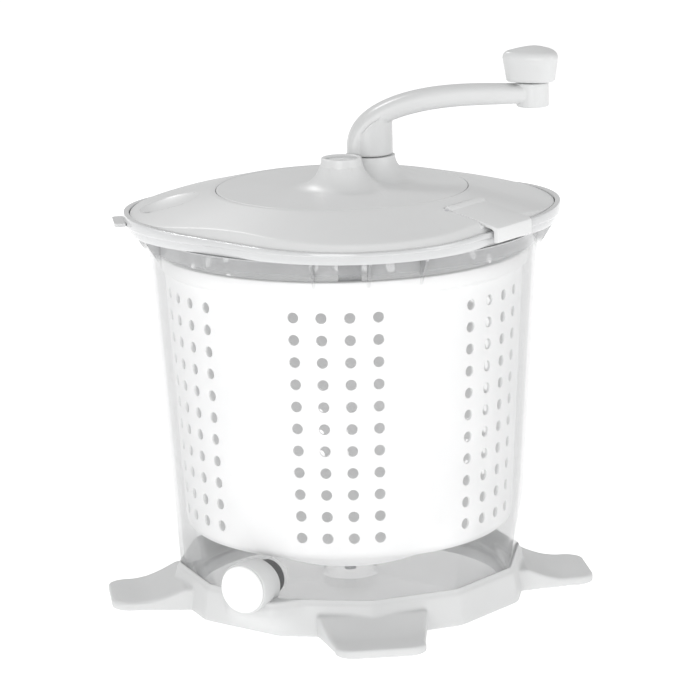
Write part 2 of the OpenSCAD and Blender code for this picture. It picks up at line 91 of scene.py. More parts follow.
class Graph:  # one material's node tree
    def __init__(self, name):
        self.material = bpy.data.materials.new(name)
        self.material.use_nodes = True
        self.tree = self.material.node_tree
        self.tree.nodes.clear()

    def add(self, kind, settings=None, inputs=None, output=0):
        node = self.tree.nodes.new(kind)
        for key, value in (settings or {}).items():
            setattr(node, key, value)
        for key, value in (inputs or {}).items():
            if isinstance(value, Wire):
                self.tree.links.new(value.socket, node.inputs[key])
            else:
                node.inputs[key].default_value = value
        return None if output is None else Wire(self, node.outputs[output])

    def noise(self, place, scale, detail=3.0, roughness=0.55):
        return self.add("ShaderNodeTexNoise", {}, {
            "Vector": place, "Scale": scale, "Detail": detail, "Roughness": roughness})

    def span(self, value, low, high, toLow=0.0, toHigh=1.0):  # remap with both ends clamped
        return self.add("ShaderNodeMapRange", {"clamp": True}, {
            "Value": value, "From Min": low, "From Max": high, "To Min": toLow, "To Max": toHigh})

    def blend(self, share, first, second):  # colours
        return self.add("ShaderNodeMix", {"data_type": "RGBA"}, {0: share, 6: first, 7: second}, 2)

    def stretched(self, place, scale):
        return self.add("ShaderNodeVectorMath", {"operation": "MULTIPLY"}, {0: place, 1: scale})

    def bump(self, height, strength, distance):
        return self.add("ShaderNodeBump", {}, {
            "Height": height, "Strength": strength, "Distance": distance})

    def finish(self, inputs):
        surface = self.add("ShaderNodeBsdfPrincipled", {}, inputs)
        self.add("ShaderNodeOutputMaterial", {}, {"Surface": surface}, None)
        return self.material


def shade(colour, factor):
    return tuple(min(1.0, part * factor) for part in colour) + (1.0,)


def mouldedPlastic(name, look):
    g = Graph(name)
    place = g.add("ShaderNodeTexCoord", output=3)
    cloud = g.noise(place, look["cloudScale"], 4)
    grain = g.noise(place, look["grainScale"], 2)
    flow = g.noise(g.stretched(place, (18, 18, 260)), 1.0, 3)  # faint moulding flow lines
    edge = g.span(g.add("ShaderNodeNewGeometry", output=7), 0.515, 0.6)
    scratch = g.span(g.noise(g.stretched(place, (700, 45, 300)), 1.0, 2), 0.66, 0.74)
    tone = g.blend(g.span(cloud, 0.3, 0.7), shade(look["colour"], 0.965), shade(look["colour"], 1.02))
    worn = g.blend(edge * look["wear"], tone, shade(look["colour"], 1.1))
    soiled = g.blend(scratch * 0.1, worn, shade(look["colour"], 0.86))
    rough = look["rough"] + 0.12 * (cloud - 0.5) + 0.07 * (flow - 0.5) + 0.1 * scratch - 0.1 * edge
    height = grain * look["grain"] + flow * 0.25 - scratch * 0.3
    return g.finish({
        "Base Color": soiled, "Roughness": rough, "IOR": 1.5,
        "Coat Weight": look.get("coat", 0.0), "Coat Roughness": 0.12,
        # painted light: emission in the plastic's own colour, a glow standing in for light through thin walls
        "Emission Color": shade(look["colour"], 1.0), "Emission Strength": look.get("paintedGlow", 0.0),
        "Normal": g.bump(height, look["bump"], 0.0004)})


def clearPlastic(name, look):
    g = Graph(name)
    place = g.add("ShaderNodeTexCoord", output=3)
    facing = g.add("ShaderNodeLayerWeight", {}, {"Blend": 0.32}, 1)
    haze = g.noise(place, 22, 4)
    streak = g.noise(g.stretched(place, (60, 60, 3)), 1.0, 3)
    scratch = g.span(g.noise(g.stretched(place, (900, 900, 60)), 1.0, 2), 0.68, 0.76)
    fine = g.noise(place, 900, 2)
    height = g.add("ShaderNodeSeparateXYZ", {}, {0: place}, 2)
    rimZone = g.span(height, look["rimFrom"], look["rimTo"])  # the thick rim looks frosted
    # painted shade: the wall above the basket, under the collar, turns a more opaque grey where the inside
    # lies in shadow under the lid
    neckShadeZone = g.span(height, look["neckFrom"], look["neckTo"])
    zones = look["body"] + neckShadeZone * look["neckShade"] + rimZone * look["rim"]
    alpha = zones + look["edge"] * facing ** 1.7 + 0.05 * (haze - 0.5) + 0.06 * scratch
    wall = g.blend(g.span(streak, 0.3, 0.7), shade(look["colour"], 0.96), shade(look["colour"], 1.04))
    colour = g.blend(rimZone, wall, shade(look["rimColour"], 1.0))
    rough = look["rough"] + 0.06 * (haze - 0.4) + 0.1 * scratch
    return g.finish({
        "Base Color": colour, "Roughness": rough, "IOR": 1.5, "Alpha": alpha,
        "Coat Weight": 0.6, "Coat Roughness": 0.05,
        "Normal": g.bump(fine * 0.3 + streak * 0.7, 0.12, 0.0006)})


def turnedSteel(name, look):
    g = Graph(name)
    place = g.add("ShaderNodeTexCoord", output=3)
    rings = g.noise(g.stretched(place, (40, 40, 5200)), 1.0, 2)
    cloud = g.noise(place, 160, 3)
    edge = g.span(g.add("ShaderNodeNewGeometry", output=7), 0.52, 0.62)
    colour = g.blend(g.span(cloud, 0.3, 0.7), shade(look["colour"], 0.9), shade(look["colour"], 1.05))
    return g.finish({
        "Base Color": g.blend(edge * 0.5, colour, shade(look["colour"], 1.2)),
        "Metallic": 1.0, "Roughness": look["rough"] + 0.14 * (rings - 0.5) + 0.1 * (cloud - 0.5),
        "Normal": g.bump(rings, 0.25, 0.0002)})


def softRubber(name, look):
    g = Graph(name)
    place = g.add("ShaderNodeTexCoord", output=3)
    grain = g.noise(place, 1400, 3)
    cloud = g.noise(place, 60, 4)
    dust = g.span(cloud, 0.5, 0.75)
    colour = g.blend(dust * 0.35, shade(look["colour"], 0.92), shade(look["colour"], 1.25))
    return g.finish({
        "Base Color": colour, "Roughness": look["rough"] + 0.15 * (cloud - 0.5),
        "Normal": g.bump(grain + cloud * 0.5, 0.4, 0.0003)})


plasticLooks = {
    "lidPlastic": {"colour": (0.745, 0.75, 0.75), "rough": 0.36, "wear": 0.35, "grain": 0.5,
                   "bump": 0.10, "cloudScale": 9, "grainScale": 1500},
    "basePlastic": {"colour": (0.66, 0.665, 0.665), "rough": 0.42, "wear": 0.3, "grain": 0.6,
                    "bump": 0.13, "cloudScale": 11, "grainScale": 1300},
    "crankPlastic": {"colour": (0.70, 0.705, 0.705), "rough": 0.33, "wear": 0.4, "grain": 0.5,
                     "bump": 0.09, "cloudScale": 16, "grainScale": 1700},
    "basketPlastic": {"colour": (0.93, 0.93, 0.93), "rough": 0.34, "wear": 0.2, "grain": 0.4,
                      "bump": 0.08, "cloudScale": 8, "grainScale": 1500,
                      "paintedGlow": 0.12},  # painted light: a faint glow stands in for light coming through the thin white walls
    "stopperPlastic": {"colour": (0.94, 0.94, 0.94), "rough": 0.3, "wear": 0.2, "grain": 0.4,
                       "bump": 0.07, "cloudScale": 30, "grainScale": 1800},
    "acetalPlastic": {"colour": (0.84, 0.84, 0.80), "rough": 0.38, "wear": 0.5, "grain": 0.7,
                      "bump": 0.15, "cloudScale": 40, "grainScale": 1600},
    "spiderPlastic": {"colour": (0.23, 0.235, 0.24), "rough": 0.5, "wear": 0.6, "grain": 1.0,
                      "bump": 0.3, "cloudScale": 35, "grainScale": 1100},
}
finishes = {name: mouldedPlastic(name, look) for name, look in plasticLooks.items()}
finishes["clearPlastic"] = clearPlastic("clearPlastic", {
    "colour": (0.44, 0.445, 0.45), "rough": 0.12, "body": 0.05, "edge": 0.8,
    # painted shade: the neck band is the shaded strip above the basket
    "neckFrom": 0.2425, "neckTo": 0.2475, "neckShade": 0.42,
    "rimFrom": 0.2545, "rimTo": 0.2565, "rim": 0.45, "rimColour": (0.63, 0.635, 0.64)})
finishes["steel"] = turnedSteel("steel", {"colour": (0.66, 0.66, 0.68), "rough": 0.3})
finishes["padRubber"] = softRubber("padRubber", {"colour": (0.42, 0.42, 0.42), "rough": 0.75})
finishes["gasketRubber"] = softRubber("gasketRubber", {"colour": (0.09, 0.09, 0.09), "rough": 0.65})
finishes["sealRubber"] = softRubber("sealRubber", {"colour": (0.74, 0.75, 0.75), "rough": 0.45})
print("finishes made:", len(finishes))


def polar(radius, angle, z):
    return (radius * cos(angle), radius * sin(angle), z)


def loft(rings, wrapRings=False, caps=(True, True)):  # rings of points in mm, joined by quads
    bm = bmesh.new()
    made = [[bm.verts.new(Vector(p) * mm) for p in ring] for ring in rings]
    count = len(made[0])
    last = len(made) if wrapRings else len(made) - 1
    for i in range(last):
        a, b = made[i], made[(i + 1) % len(made)]
        for j in range(count):
            k = (j + 1) % count
            bm.faces.new((a[j], a[k], b[k], b[j]))
    if not wrapRings and caps[0]:
        bm.faces.new(list(reversed(made[0])))
    if not wrapRings and caps[1]:
        bm.faces.new(made[-1])
    bmesh.ops.recalc_face_normals(bm, faces=bm.faces)
    return bm


def addPiece(name, bm, finish, smoothAngle=35):
    mesh = bpy.data.meshes.new(name)
    bmesh.ops.remove_doubles(bm, verts=bm.verts, dist=1e-6)
    bmesh.ops.recalc_face_normals(bm, faces=bm.faces)
    bm.to_mesh(mesh)
    bm.free()
    piece = bpy.data.objects.new(name, mesh)
    bpy.context.scene.collection.objects.link(piece)
    mesh.materials.append(finishes[finish])
    smoothEdges(piece, smoothAngle)
    return piece


def smoothEdges(piece, angle):
    piece.data.shade_smooth()
    piece.data.set_sharp_from_angle(angle=radians(angle))


def merge(*meshes):  # several bmeshes into the first
    whole = bmesh.new()
    for bm in meshes:
        part = bpy.data.meshes.new("part")
        bm.to_mesh(part)
        bm.free()
        whole.from_mesh(part)
        bpy.data.meshes.remove(part)
    return whole


def applied(piece):  # modifiers made real
    bpy.context.view_layer.update()
    graph = bpy.context.evaluated_depsgraph_get()
    done = bpy.data.meshes.new_from_object(piece.evaluated_get(graph))
    old = piece.data
    piece.modifiers.clear()
    piece.data = done
    bpy.data.meshes.remove(old)
    done.name = piece.name
    return piece


def carve(piece, tool, operation="DIFFERENCE"):
    mesh = bpy.data.meshes.new("tool")
    bmesh.ops.recalc_face_normals(tool, faces=tool.faces)
    tool.to_mesh(mesh)
    tool.free()
    other = bpy.data.objects.new("tool", mesh)
    bpy.context.scene.collection.objects.link(other)
    cut = piece.modifiers.new("cut", "BOOLEAN")
    cut.operation, cut.object, cut.solver = operation, other, "EXACT"
    applied(piece)
    bpy.data.objects.remove(other)
    bpy.data.meshes.remove(mesh)


def remeshed(piece, voxel, passes):  # overlapping shells become one, with soft edges
    again = piece.modifiers.new("voxels", "REMESH")
    again.mode, again.voxel_size = "VOXEL", voxel * mm
    soften = piece.modifiers.new("soften", "SMOOTH")
    soften.factor, soften.iterations = 0.5, passes
    applied(piece)
    piece.data.shade_smooth()
    return piece


def prism(outline, low, high):  # an outline in x and y between two heights
    return loft([[(x, y, low) for x, y in outline], [(x, y, high) for x, y in outline]])


def block(frameMatrix, low, high):
    (x0, y0, z0), (x1, y1, z1) = low, high
    bm = prism([(x0, y0), (x1, y0), (x1, y1), (x0, y1)], z0, z1)
    bmesh.ops.transform(bm, matrix=frameMatrix, verts=bm.verts)
    return bm


def bearing(angle):  # local X points outwards along a bearing from -Y towards +X
    return Matrix.Rotation(radians(angle - 90), 4, "Z")


def turned(radii, count=96):  # a lathe shape from (radius, z) points, closed on itself
    step = 2 * pi / count
    return loft([[polar(r, j * step, z) for j in range(count)] for r, z in radii], wrapRings=True)


def settle(piece, body, slot, *replaced):
    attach(piece, body)
    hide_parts(*replaced)


# the rim's outline and saddle, shared by bucket and lid
rim = {"cornerR": 147.5, "sideR": 134.5, "frontZ": 264.5, "rise": 5.0, "ledgeZ": 261.0}
lobeR = (math.sqrt(2) * rim["sideR"] - rim["cornerR"]) / (math.sqrt(2) - 1)
lobeOff = (rim["sideR"] - lobeR) * math.sqrt(2)


def rimRadius(angle, grow):
    a = abs((angle + pi / 4) % (pi / 2) - pi / 4)  # from the nearest foot
    lobe = lobeR + grow
    part = lobe * math.sqrt(0.5)
    if a <= math.atan2(part, lobeOff + part):
        return lobeOff * cos(a) + math.sqrt(lobe ** 2 - (lobeOff * sin(a)) ** 2)
    return (rim["sideR"] + grow) / cos(pi / 4 - a)


def saddle(radius, angle):
    return rim["frontZ"] + rim["rise"] * (radius * cos(angle) / rim["cornerR"]) ** 2


def softMin(a, b, k):
    return min(a, b) - k * math.log(1 + math.exp(-abs(a - b) / k))


def cornered(radius, angle, soft):  # a twelve-sided radius with slightly rounded corners
    off = (angle % (pi / 6)) - pi / 12
    flat = radius * cos(pi / 12) / cos(off)
    return softMin(flat, radius - soft, soft)


bucket = {
    "wallTopR": 131.0, "wallFootR": 117.2, "footZ": 28.0, "wallTopZ": 241.0, "thick": 3.0,
    "floorZ": 12.0, "underZ": 9.5, "flatLean": 9.0, "collarZ": 256.0, "openingR": 127.8,
    "collarIn": 2.5, "lipIn": 3.8, "pedestalR": 18.0, "pedestalZ": 20.0, "around": 360,
    "ribSpread": 15.5, "ribThick": 1.6,
}


def wallRadius(angle, z, inset):
    lean = (bucket["wallTopR"] - bucket["wallFootR"]) / (bucket["wallTopZ"] - bucket["footZ"])
    rise = z - bucket["footZ"]
    off = (angle % (pi / 6)) - pi / 12
    flat = (bucket["wallFootR"] * cos(pi / 12) + math.tan(radians(bucket["flatLean"])) * rise) / cos(off)
    return softMin(bucket["wallFootR"] + lean * rise, flat, 0.25) - inset


def makeBucket(b):
    angles = [2 * pi * j / b["around"] for j in range(b["around"])]

    def wall(z, inset=0.0):
        return [polar(wallRadius(a, z, inset), a, z) for a in angles]

    def onRim(grow, z=None, drop=0.0):
        ring = []
        for a in angles:
            r = rimRadius(a, grow)
            ring.append(polar(r, a, saddle(r, a) - drop if z is None else z))
        return ring

    def circle(radius, z):
        return [polar(radius, a, z) for a in angles]

    low = [b["underZ"] + 1.2 + 4 * i for i in range(17)]
    high = [82 + 12 * i for i in range(15)]
    rings = [circle(2, b["underZ"]), circle(60, b["underZ"]), wall(b["underZ"], 2.2),
             wall(b["underZ"] + 0.3, 0.7)]
    rings += [wall(z) for z in low + high]
    rings += [wall(b["collarZ"] - 1.6), wall(b["collarZ"] - 0.4, -0.5), wall(b["collarZ"], -1.6)]
    rings += [onRim(-b["collarIn"] - 2.2, b["collarZ"]), onRim(-b["collarIn"] - 0.9, b["collarZ"] + 0.3),
              onRim(-b["collarIn"] - 0.1, b["collarZ"] + 1.6), onRim(-b["collarIn"], b["collarZ"] + 3.5),
              onRim(-b["collarIn"], b["collarZ"] + 5.6), onRim(-b["collarIn"] + 0.4, b["collarZ"] + 6.1),
              onRim(-0.5, b["collarZ"] + 6.2), onRim(0, b["collarZ"] + 6.7)]
    rings += [onRim(0, drop=0.9), onRim(-0.25, drop=0.25), onRim(-0.9, drop=0),
              onRim(-b["lipIn"] + 0.7, drop=0), onRim(-b["lipIn"] + 0.15, drop=0.25),
              onRim(-b["lipIn"], drop=0.9)]
    rings += [onRim(-b["lipIn"], rim["ledgeZ"] + 0.4), onRim(-b["lipIn"] - 0.4, rim["ledgeZ"]),
              circle(b["openingR"] + 0.5, rim["ledgeZ"]), circle(b["openingR"], rim["ledgeZ"] - 0.5),
              circle(b["openingR"], 252)]
    rings += [wall(z, b["thick"]) for z in reversed(high)]
    rings += [wall(z, b["thick"]) for z in reversed(low[1:])]
    rings += [wall(b["floorZ"] + 1.0, b["thick"] + 0.3), wall(b["floorZ"], b["thick"] + 1.4),
              circle(60, b["floorZ"]), circle(b["pedestalR"] + 2, b["floorZ"]),
              circle(b["pedestalR"] + 0.3, b["floorZ"] + 1.5), circle(b["pedestalR"], b["pedestalZ"] - 0.8),
              circle(b["pedestalR"] - 0.8, b["pedestalZ"]), circle(4.05, b["pedestalZ"]),
              circle(4.05, 14.0)]
    shell = loft(rings)
    extras = []
    for foot in range(4):
        for k in (-1, 0, 1):  # three thin ribs under the collar, over each foot
            bm = loft([[(130.6, y, 238), (141.6, y, b["collarZ"] + 0.1), (130.6, y, b["collarZ"] + 0.1)]
                       for y in (-b["ribThick"] / 2, b["ribThick"] / 2)])
            turn = Matrix.Rotation(radians(90 * foot + b["ribSpread"] * k), 4, "Z")
            bmesh.ops.transform(bm, matrix=turn, verts=bm.verts)
            extras.append(bm)
    tab = [(-147.2, -14), (-147.2, 14)]
    tab += [(-151.7 - 3 * sin(radians(t)), 11 + 3 * cos(radians(t))) for t in range(0, 91, 15)]
    tab += [(-151.7 - 3 * cos(radians(t)), -11 - 3 * sin(radians(t))) for t in range(0, 91, 15)]
    extras.append(prism(tab, 262.7, 265.0))
    return addPiece("clearBucket", merge(shell, *extras), "clearPlastic", 30)


clearBucket = makeBucket(bucket)
settle(clearBucket, "base", "clear_plastic", "bucket")
print("bucket made:", len(clearBucket.data.polygons), "faces")


# base with its four feet

base = {
    "floorR": 123.5, "shoulderR": 120.0, "shoulderZ": 22.0, "topR": 118.3, "topZ": 26.0,
    "cavityR": 104.0, "reach": 166.0, "halfWidth": 30.0, "tipR": 12.0, "tipThick": 7.0,
    "rootThick": 16.0, "rootAt": 118.0, "rootRun": 30.0, "voxel": 0.9,
    "drainBearing": -38.0, "drainZ": 35.5, "drainR": 17.0, "drainFace": 137.2, "neckR": 16.0,
    "tubeR": 8.9, "tubeEnd": 98.0, "boreR": 6.5, "swell": 14.5, "swellWide": 25.0,
}


def footTop(x, b):
    t = min(1.0, max(0.0, (x - b["rootAt"]) / b["rootRun"]))
    return b["rootThick"] + (b["tipThick"] - b["rootThick"]) * sin(t * pi / 2)


def footWidth(x, b):
    if x <= b["reach"] - b["tipR"]:
        return max(b["halfWidth"], 37 - 7 * (x - 112) / 38)
    inTip = x - (b["reach"] - b["tipR"])
    return b["halfWidth"] - b["tipR"] + math.sqrt(max(0.0, b["tipR"] ** 2 - inTip ** 2))


def makeFoot(b, turn):
    xs = [106 + 1.5 * i for i in range(33)] + [154 + 12 * sin(pi * i / 40) for i in range(1, 21)]
    rings = []
    for x in xs:
        w, top, rounding = footWidth(x, b), footTop(x, b), 1.2
        ring = [(x, -w, 1), (x, w, 1), (x, w, top - rounding)]
        ring += [(x, w - rounding, top)] + [(x, -w + rounding, top)] + [(x, -w, top - rounding)]
        rings.append(ring)
    bm = loft(rings)
    bmesh.ops.transform(bm, matrix=turn, verts=bm.verts)
    return bm


def swelling(angle, z, b):  # how far the skirt bulges under the drain
    off = (angle - radians(b["drainBearing"] - 90) + pi) % (2 * pi) - pi
    rise = min(1.0, max(0.0, (z - 1) / 17))
    across = math.exp(-(off * b["shoulderR"] / b["swellWide"]) ** 4)
    return b["swell"] * rise * rise * (3 - 2 * rise) * across


def makeBase(b):
    angles = [2 * pi * j / 360 for j in range(360)]

    def ring(radius, z):
        return [polar(cornered(radius, a, 0.35) + swelling(a, z, b), a, z) for a in angles]

    def inside(z):
        return [polar(wallRadius(a, z, -0.3), a, z) for a in angles]

    slope = (b["shoulderR"] + 0.4 - b["floorR"]) / (b["shoulderZ"] - 3)
    side = [ring(b["floorR"] + slope * (z - 1), z) for z in (1, 4, 7, 10, 13, 16, b["shoulderZ"] - 2)]
    skirt = loft(side + [ring(b["shoulderR"], b["shoulderZ"]), ring(b["topR"] + 0.4, b["shoulderZ"] + 1.2),
                         ring(b["topR"], b["topZ"]), inside(b["topZ"]), inside(10.2),
                         [polar(108, a, 9.4) for a in angles],
                         [polar(b["cavityR"], a, 9.4) for a in angles],
                         [polar(b["cavityR"], a, 1) for a in angles]], wrapRings=True)
    feet = [makeFoot(b, Matrix.Rotation(pi / 2 * i, 4, "Z")) for i in range(4)]
    piece = addPiece("footedBase", merge(skirt, *feet), "basePlastic")
    remeshed(piece, b["voxel"], 7)
    smoothEdges(piece, 40)
    return piece


footedBase = makeBase(base)
settle(footedBase, "base", "base_plastic", "base_skirt")
print("base made:", len(footedBase.data.polygons), "faces")


def makeDrain(b):  # a round housing on the wall, its tube going through
    turns = [2 * pi * i / 96 for i in range(96)]

    def ring(radius, along):
        return [(along, radius * cos(t), b["drainZ"] + radius * sin(t)) for t in turns]

    def onWall(radius):
        points = []
        for t in turns:
            y, z = radius * cos(t), b["drainZ"] + radius * sin(t)
            along = 117.0
            for again in range(6):
                a = math.atan2(y, along) + radians(b["drainBearing"] - 90)
                along = math.sqrt(max(1.0, wallRadius(a, z, -0.1) ** 2 - y * y))
            points.append((along, y, z))
        return points

    r, face = b["drainR"], b["drainFace"]
    bore, tube, end = b["boreR"], b["tubeR"], b["tubeEnd"]
    rings = [ring(bore, end), ring(bore, face - 0.5), ring(bore + 0.5, face), ring(r - 1.0, face),
             ring(r - 0.35, face - 0.25), ring(r, face - 1.1), ring(r + 0.1, face - 6),
             ring(r + 0.1, face - 12), ring(r - 0.5, face - 12.7), ring(b["neckR"] - 0.2, face - 13),
             onWall(b["neckR"]), onWall(tube), ring(tube, end)]
    bm = loft(rings, wrapRings=True)
    bmesh.ops.transform(bm, matrix=bearing(b["drainBearing"]), verts=bm.verts)
    return addPiece("drainHousing", bm, "basePlastic", 35)


settle(makeDrain(base), "base", "drain_plastic", "drain_boss")
print("drain made")


basket = {
    "midR": 116.0, "taper": 0.0546, "midZ": 141.5, "thick": 2.2, "topZ": 241.0, "rimR": 124.5,
    "bandZ": 229.0, "holeR": 3.6, "rows": 11, "cols": 4, "groups": 6, "pitch": 15.0,
    "colAngle": 8.93, "groupBearing": -9.85, "heel": 8.0, "heelZ": 58.0, "floorZ": 46.0,
    "hubZ": 30.0, "hubR": 14.0, "hubTop": 51.0, "hubUnder": 25.0, "cupR": 10.0, "lugBearing": -5.0,
    "holeLip": 0.5,
}


def basketRadius(z, b):
    return b["midR"] + b["taper"] * (z - b["midZ"])


def makeBasket(b):
    bm = bmesh.new()
    lowZ = b["midZ"] - b["pitch"] * b["rows"] / 2
    per = 6  # grid steps along one side of a hole's cell
    cell = radians(b["colAngle"])
    span = 2 * pi / b["groups"]
    gapSteps = 8
    start = radians(b["groupBearing"] - 90) - cell * b["cols"] / 2
    steps = []
    for g in range(b["groups"]):
        steps += [start + g * span + cell * i / per for i in range(b["cols"] * per)]
        begin = start + g * span + cell * b["cols"]
        steps += [begin + (span - cell * b["cols"]) * i / gapSteps for i in range(gapSteps)]
    count = len(steps)
    levels = [lowZ + b["pitch"] * i / per for i in range(b["rows"] * per + 1)]

    def sheet(inset):
        return [[bm.verts.new(Vector(polar(basketRadius(z, b) - inset, a, z)) * mm) for a in steps]
                for z in levels]

    outer, inner = sheet(0.0), sheet(b["thick"])
    groupSteps = b["cols"] * per + gapSteps

    def inHole(row, col):
        return row // per < b["rows"] and col % groupSteps < b["cols"] * per

    for skin, flip in ((outer, False), (inner, True)):
        for row in range(len(levels) - 1):
            for col in range(count):
                if not inHole(row, col):
                    c = (col + 1) % count
                    quad = [skin[row][col], skin[row][c], skin[row + 1][c], skin[row + 1][col]]
                    bm.faces.new(quad[::-1] if flip else quad)
    for r in range(b["rows"]):  # each hole: a ring in its cell, outside and inside, and its wall
        for g in range(b["groups"]):
            for c in range(b["cols"]):
                holeCell(bm, b, outer, inner, r * per, g * groupSteps + c * per, per, count)
    closeBasket(bm, b, outer, inner, steps)
    for i in range(3):
        lug = block(bearing(b["lugBearing"] + 120 * i), (112.5, -2, 224), (119.2, 2, 238))
        bmesh.ops.bevel(lug, geom=lug.edges, offset=0.4 * mm, segments=2, affect="EDGES")
        bm = merge(bm, lug)
    return addPiece("basketShell", bm, "basketPlastic", 50)


def holeCell(bm, b, outer, inner, row, col, per, count):
    path = [(row, col + i) for i in range(per)] + [(row + i, col + per) for i in range(per)]
    path += [(row + per, col + per - i) for i in range(per)] + [(row + per - i, col) for i in range(per)]
    rings = []
    first, last = outer[row][col].co, outer[row + per][(col + per) % count].co
    z = (first.z + last.z) / 2
    middle = (first.xy.normalized() + last.xy.normalized()).normalized()
    mid = math.atan2(middle.y, middle.x)
    steps = ((0.0, b["holeR"] + b["holeLip"]), (0.12, b["holeR"] + 0.12), (0.5, b["holeR"]),
             (b["thick"] - 0.4, b["holeR"]), (b["thick"], b["holeR"] + 0.35))
    for inset, radius in steps:
        ring = []
        for i, j in path:
            corner = outer[i][j % count].co
            across = (math.atan2(corner.y, corner.x) - mid + pi) % (2 * pi) - pi
            turn = math.atan2(corner.z - z, across * b["midR"] * mm)
            high = z / mm + radius * sin(turn)
            wallR = basketRadius(high, b)
            place = polar(wallR - inset, mid + radius * cos(turn) / wallR, high)
            ring.append(bm.verts.new(Vector(place) * mm))
        rings.append(ring)
    n = len(path)
    outside = [outer[i][j % count] for i, j in path]
    inside = [inner[i][j % count] for i, j in path]
    chain = [outside] + rings + [inside]
    for first, second in zip(chain, chain[1:]):
        for k in range(n):
            m = (k + 1) % n
            bm.faces.new((first[k], first[m], second[m], second[k]))


def closeBasket(bm, b, outer, inner, steps):
    def ring(radius, z):
        return [bm.verts.new(Vector(polar(radius, a, z)) * mm) for a in steps]

    def join(rings):
        for first, second in zip(rings, rings[1:]):
            for k in range(len(steps)):
                m = (k + 1) % len(steps)
                bm.faces.new((first[k], first[m], second[m], second[k]))

    t, top = b["thick"], b["topZ"]
    rimOut = [ring(basketRadius(b["bandZ"], b), b["bandZ"]), ring(b["rimR"] - 0.5, b["bandZ"] + 2.2),
              ring(b["rimR"], b["bandZ"] + 3.2), ring(b["rimR"], top - 1),
              ring(b["rimR"] - 0.3, top - 0.25), ring(b["rimR"] - 1, top)]
    innerTop = basketRadius(top, b) - t
    rimIn = [ring(innerTop + 0.7, top), ring(innerTop + 0.1, top - 0.4), ring(innerTop, top - 1)]
    join([outer[-1]] + rimOut + rimIn + [inner[-1]])

    def heel(thick):
        r, bend = basketRadius(b["heelZ"], b) - b["heel"], b["heel"] - thick
        return [(r + bend * cos(radians(a)), b["heelZ"] + bend * sin(radians(a))) for a in range(0, -91, -10)]

    dish = [(88, b["floorZ"] + 1.6), (74, b["floorZ"] - 1.4), (64, b["floorZ"] - 5), (57, 34.5),
            (53, 31), (48, b["hubZ"] - 0.8)]
    under = heel(0) + dish + [(20, b["hubZ"]), (b["hubR"] + 1, b["hubZ"] - 0.6), (b["hubR"], b["hubZ"] - 2),
                              (b["hubR"], b["hubUnder"] + 0.6), (b["hubR"] - 0.6, b["hubUnder"]),
                              (b["cupR"] + 0.2, b["hubUnder"]), (b["cupR"], b["hubUnder"] + 0.4),
                              (b["cupR"], 48.5), (0.5, 48.5)]
    above = heel(t) + [(r, z + t) for r, z in dish] + [
        (20, b["hubZ"] + t), (b["hubR"] + 1.2, b["hubZ"] + t + 0.4), (b["hubR"], b["hubZ"] + t + 1.6),
        (b["hubR"], b["hubTop"] - 0.8), (b["hubR"] - 0.8, b["hubTop"]), (0.5, b["hubTop"])]
    downOut = [ring(r, z) for r, z in under]
    downIn = [ring(r, z) for r, z in above]
    join([outer[0]] + downOut)
    join([inner[0]] + downIn)
    bm.faces.new(downOut[-1])
    bm.faces.new(downIn[-1])


basketShell = makeBasket(basket)
settle(basketShell, "basket", "white_plastic", "basket")
print("basket made:", len(basketShell.data.polygons), "faces")


lid = {
    "innerR": 85.2, "seatZ": 276.8, "topZ": 281.0, "coneR": 87.8, "slope": 0.235, "rimIn": 4.2,
    "bevelSlope": 1.16, "thick": 3.0, "spigotR": 126.8, "spigotLow": 257.0, "around": 480,
    "latchBearing": 47.0, "latchWidth": 40.0, "hingeR": 100.0, "hingeZ": 276.5, "tilt": 12.5,
    "lipR": 135.6, "lipLow": 259.0,
    "inletRim": ((-95.5, 4), (-100, -6), (-109, -10.5), (-120, -11), (-130, -10), (-135.5, -4), (-136, 8),
                 (-132, 19), (-123, 26), (-112, 28), (-102, 23), (-96.5, 14)),
    "inletFocus": (-119.0, -1.5), "inletDepth": 3.6, "inletHole": (-129.0, -1.0), "holeR": 5.0,
}


def lidTop(radius):
    return lid["topZ"] - lid["slope"] * (radius - lid["coneR"])


